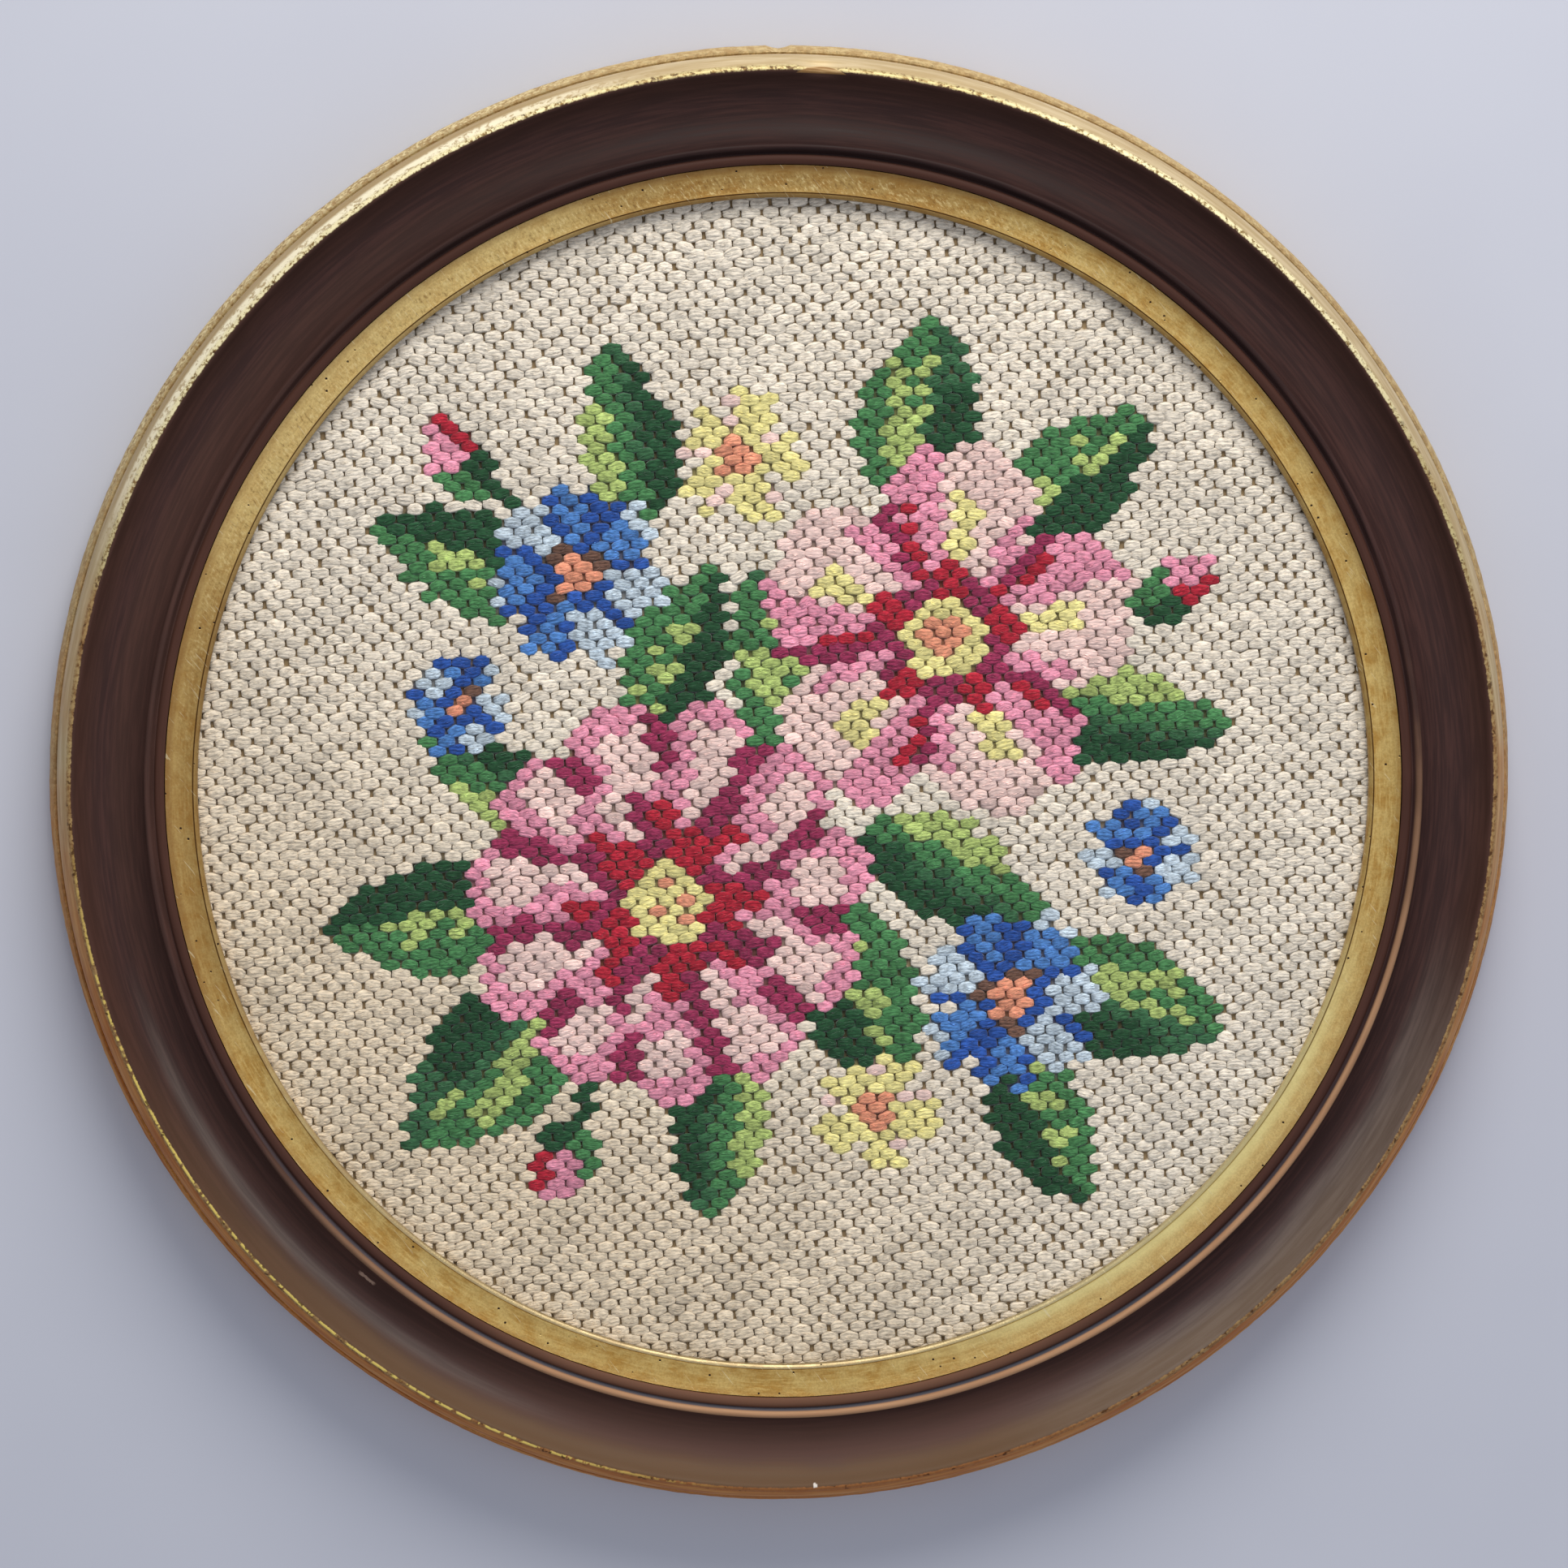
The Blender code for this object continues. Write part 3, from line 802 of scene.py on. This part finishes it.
def woolFinish(name, hexText, s):
    # stranded wool, plied and worked in tent stitch: matt, soft at the edges, fibres along the stitch
    material, tree, shader = newMaterial(name, {
        "Roughness": 0.88, "Sheen Weight": 0.3, "Sheen Roughness": 0.45, "Specular IOR Level": 0.2})
    along = addNode(tree, "UVMap", uv_map="stitchMap")
    tone = addNode(tree, "Attribute", output="Fac", attribute_name="stitchTone")
    # strands of fibre are drawn 0.25 mm wide, far coarser than real fibres, so that they show
    stretched = addNode(tree, "Mapping", {"Vector": along, "Scale": (0.8, 3.0, 1.0)})
    fibres = addNode(tree, "TexNoise", {"Vector": stretched, "Scale": 1.0, "Detail": 4.0, "Roughness": 0.6})
    # the strands are painted highlight and painted shade: lit and shaded copies of the yarn colour
    lit = min(1.26, 1.0 / max(hexColor(hexText)[:3]))  # pale wool can't get much brighter
    shaded = 0.56 + 0.5 * (1.26 - lit)
    color = paintOver(tree, hexColor(hexText, shaded), hexColor(hexText, lit), (fibres, 0.34, 0.64))
    if name.startswith("cream"):  # the ground is warmer and darker towards the lower left
        lowerLeft = facing(tree, ringPlaces(tree)[0], -0.6, -0.8)  # in millimetres
        warmerLowerLeft = within(tree, (lowerLeft, 0.0, 95.0, 0.0, 0.45))
        color = addNode(tree, "Mix", {0: warmerLowerLeft, 6: color, 7: "#f0dcb8"}, 2, data_type="RGBA",
                        blend_type="MULTIPLY")
    furrow = addNode(tree, "SeparateXYZ", (along,), "Y")
    for operation, *others in (("MULTIPLY", math.pi / s["furrowSpacing"]), ("COSINE",), ("ABSOLUTE",)):
        furrow = addNode(tree, "Math", (furrow, *others), operation=operation)
    # painted shade in the furrows between the plies
    color = paintOver(tree, color, hexColor(hexText, 0.5), (furrow, 0.45, 0.05), 0.35)
    color = addNode(tree, "HueSaturation", {"Color": color, "Value": tone})
    joinShader(tree, shader, color, fibres, 0.9, 0.15)
    return material


def looseFibre(s):
    # a thin closed sliver over the stitch: two ends, two sides, the crown between them
    length, half = random.uniform(*s["fibreLength"]) / 2, random.uniform(*s["fibreHalf"])
    lean = random.gauss(0, s["fibreLean"])
    x, y = random.uniform(-0.9, 0.9), random.uniform(-0.8, 0.8)
    dx, dy = length * math.cos(lean), length * math.sin(lean)
    middleHeight = s["spans"][len(s["spans"]) // 2][2]
    crown = middleHeight * (1.0 - 0.40 * y * y - 0.10 * x * x) + random.uniform(*s["fibreLift"])
    ends = [(x + side * dx, y + side * dy, crown - 0.02 - 0.16 * random.random()) for side in (-1, 1)]
    nx, ny = -half * math.sin(lean), half * math.cos(lean)
    return ends + [(x + nx, y + ny, crown), (x - nx, y - ny, crown), (x, y, crown + 0.05)]


def workStitches(name, places, shape, s):
    # copies of the stitch, each turned, sized and toned a little differently, with its loose
    # fibres, as one mesh
    corners = np.array([c.co / mm for c in shape.data.vertices])
    faces = [list(p.vertices) for p in shape.data.polygons]
    body = len(corners)
    for fibre in range(s["fibres"]):
        first = body + 5 * fibre
        faces += [[first + i for i in face] for face in
                  ((0, 3, 4), (0, 4, 2), (4, 3, 1), (2, 4, 1), (0, 2, 3), (2, 1, 3))]
    count = body + 5 * s["fibres"]
    allCorners, allFaces, allMap, allTones = [], [], [], []
    inPosy = 0 if name.startswith("cream") else 1
    jitter = np.random.default_rng(len(places))
    for number, at in enumerate(places):
        lean = math.radians(weave["turn"] + s["lean"] + random.gauss(0, s["leanSpread"]))
        local = corners * [random.gauss(1, s["sizeSpread"]) for _ in range(3)]
        local[:, 2] += s["liftSpread"] * local[:, 0] * random.gauss(0, 1)  # one end a little higher
        local[:, 1] += random.gauss(0, s["bowSpread"]) * (local[:, 0] ** 2 - 0.8)
        local += jitter.normal(0, s["jitter"], local.shape)
        fibres = [corner for _ in range(s["fibres"]) for corner in looseFibre(s)]
        local = np.concatenate([local, fibres])
        placed = local.copy()
        placed[:, 0] = local[:, 0] * math.cos(lean) - local[:, 1] * math.sin(lean)
        placed[:, 1] = local[:, 0] * math.sin(lean) + local[:, 1] * math.cos(lean)
        placed += (at.x + random.gauss(0, s["shift"]), bowed(at.x, at.y) + random.gauss(0, s["shift"]),
                   s["height"] + random.gauss(0, s["heightSpread"]))
        allCorners.append(placed * mm)
        allFaces += [[number * count + corner for corner in face] for face in faces]
        strands = np.concatenate([corners[:, :2], np.array(fibres)[:, :2] * (1, 0.1)])
        allMap.append(strands + (random.uniform(0, 90), 0))
        # the wool's colour drifts a little from place to place and from stitch to stitch
        drift = s["drift"] * math.sin(at.x / 6 + 2 * math.sin(at.y / 9))
        tone = random.gauss(1.0, s["toneSpread"][inPosy]) + drift
        # loose fibres are painted lighter, a painted highlight where they stand up into the light
        allTones += [tone] * body + [tone * s["fibreHighlight"][inPosy]] * (count - body)
    mesh = bpy.data.meshes.new(name)
    mesh.from_pydata(np.concatenate(allCorners), [], allFaces)
    tones = mesh.attributes.new("stitchTone", "FLOAT", "POINT")
    tones.data.foreach_set("value", allTones)
    layer = mesh.uv_layers.new(name="stitchMap")
    loopCorners = np.empty(len(mesh.loops), dtype=int)
    mesh.loops.foreach_get("vertex_index", loopCorners)
    layer.data.foreach_set("uv", np.concatenate(allMap)[loopCorners].ravel())
    mesh.shade_smooth()
    creaseFurrows(mesh, count, corners, s)
    piece = bpy.data.objects.new(name, mesh)
    scene.collection.objects.link(piece)
    return piece


def creaseFurrows(mesh, count, corners, s):
    # the edges along the furrows stay sharp, so that the plies read as separate strands
    furrow = np.zeros(count, dtype=bool)
    for place, width, height, sink in s["spans"]:
        onSpan = np.abs(corners[:, 0] - place) < 0.01
        furrow[:len(corners)] |= onSpan & (np.abs(np.abs(corners[:, 1]) / width - s["furrowAt"]) < 0.05)
    ends = np.empty(len(mesh.edges) * 2, dtype=int)
    mesh.edges.foreach_get("vertices", ends)
    sharp = mesh.attributes.new("sharp_edge", "BOOLEAN", "EDGE")
    sharp.data.foreach_set("value", furrow[ends % count].reshape(-1, 2).all(axis=1))


oneStitch = shapeStitch(stitch)
worked = {yarn: [] for yarn in yarns}
for at in stitchPlaces():
    worked[yarnAt(at.x, at.y)].append(at)
for yarn, places in worked.items():
    finish = woolFinish(yarn + "Wool", yarns[yarn], stitch)
    parts = stitch["groundPieces"] if yarn == "cream" else 1
    for part in range(parts):
        share = places[part * len(places) // parts:(part + 1) * len(places) // parts]
        name = yarn + "Stitches" + (str(part + 1) if parts > 1 else "")
        piece = workStitches(name, share, oneStitch, stitch)
        piece.data.materials.append(finish)
        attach(piece, "root")
bpy.data.objects.remove(oneStitch)
print("stitches worked", {yarn: len(places) for yarn, places in worked.items()})

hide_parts("needlework")
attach(canvasCloth, "root")

# the board behind it


def boardFinish():
    # raw pressed board: flat brown, faintly mottled, matt
    material, tree, shader = newMaterial("pressedBoard", {"Roughness": 0.85})
    flecks = addNode(tree, "TexNoise", {"Vector": ringPlaces(tree)[0], "Scale": 1.4, "Detail": 5.0,
                                        "Roughness": 0.7})
    color = paintOver(tree, "#8a6b4a", "#a98a64", (flecks, 0.35, 0.65))
    joinShader(tree, shader, color, flecks, 0.3, 0.1)
    return material


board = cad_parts["backing_board"]
board.data.materials.clear()
board.data.materials.append(boardFinish())

# floor, light and camera

studio = {
    "floorColor": "#c9ccd8", "floorPatches": "#b9bccb", "floorSize": 6.0,
    "keyPower": 8.0, "keySize": 0.6, "keyPlace": (0.11, 0.78, 0.50), "keyColor": "#fffaf2",
    "fillPower": 1.2, "fillSize": 1.2, "fillPlace": (0.5, -0.3, 0.9), "fillColor": "#eef2ff",
    "skyColor": "#dfe4ee", "skyStrength": 0.50,
}


def paintedFloorFinish(s):
    # smooth matt paint, a trace of unevenness
    material, tree, shader = newMaterial("mattPaint", {"Roughness": 0.9})
    soft = addNode(tree, "TexNoise", {"Vector": ringPlaces(tree)[0], "Scale": 0.01, "Detail": 3.0,
                                      "Roughness": 0.55})
    color = paintOver(tree, s["floorColor"], s["floorPatches"], (soft, 0.3, 0.7, 0.0, 0.25))
    tree.links.new(color, shader.inputs["Base Color"])
    return material


def addAreaLight(name, s):
    light = bpy.data.lights.new(name, "AREA")
    light.shape, light.size, light.energy = "DISK", s[name + "Size"], s[name + "Power"]
    light.color = hexColor(s[name + "Color"])[:3]
    lamp = bpy.data.objects.new(name, light)
    lamp.location = s[name + "Place"]
    lamp.rotation_euler = (-Vector(s[name + "Place"])).to_track_quat("-Z", "Y").to_euler()
    scene.collection.objects.link(lamp)


deselectAll()
bpy.ops.mesh.primitive_plane_add(size=studio["floorSize"], location=(0, 0, 0))
floor = bpy.context.object
floor.name = "floor"
floor.data.materials.append(paintedFloorFinish(studio))

world = bpy.data.worlds.new("studio")
world.use_nodes = True
scene.world = world
background = world.node_tree.nodes["Background"]
background.inputs["Color"].default_value = hexColor(studio["skyColor"])
background.inputs["Strength"].default_value = studio["skyStrength"]
addAreaLight("key", studio)
addAreaLight("fill", studio)

# the photo was taken nearly square on, from a little above and left of the frame's middle
shot = {
    "photoWidth": 1932, "pixelsPerMm": 7.01, "distance": 750.0, "sensorWidth": 36.0,
    "up": 5.4, "left": 2.6,  # degrees off the face's normal
    "crestHeight": 16.4, "aimX": -0.6, "aimY": 1.02,
}


def addCamera(s):
    camera = bpy.data.objects.new("camera", bpy.data.cameras.new("camera"))
    left, up = math.radians(s["left"]), math.radians(s["up"])
    toCamera = Vector((-math.tan(left), math.tan(up), 1.0)).normalized()
    right = Vector((0, 1, 0)).cross(toCamera).normalized()  # the picture's top stays up
    aim = Vector((s["aimX"], s["aimY"], s["crestHeight"]))
    camera.location = (aim + toCamera * s["distance"]) * mm
    camera.rotation_euler = Matrix((right, toCamera.cross(right), toCamera)).transposed().to_euler()
    camera.data.sensor_width = s["sensorWidth"]
    camera.data.lens = s["sensorWidth"] * s["pixelsPerMm"] * s["distance"] / s["photoWidth"]
    camera.data.clip_start, camera.data.clip_end = 0.01, 50.0
    scene.collection.objects.link(camera)
    scene.camera = camera


addCamera(shot)
print("camera and lights set")
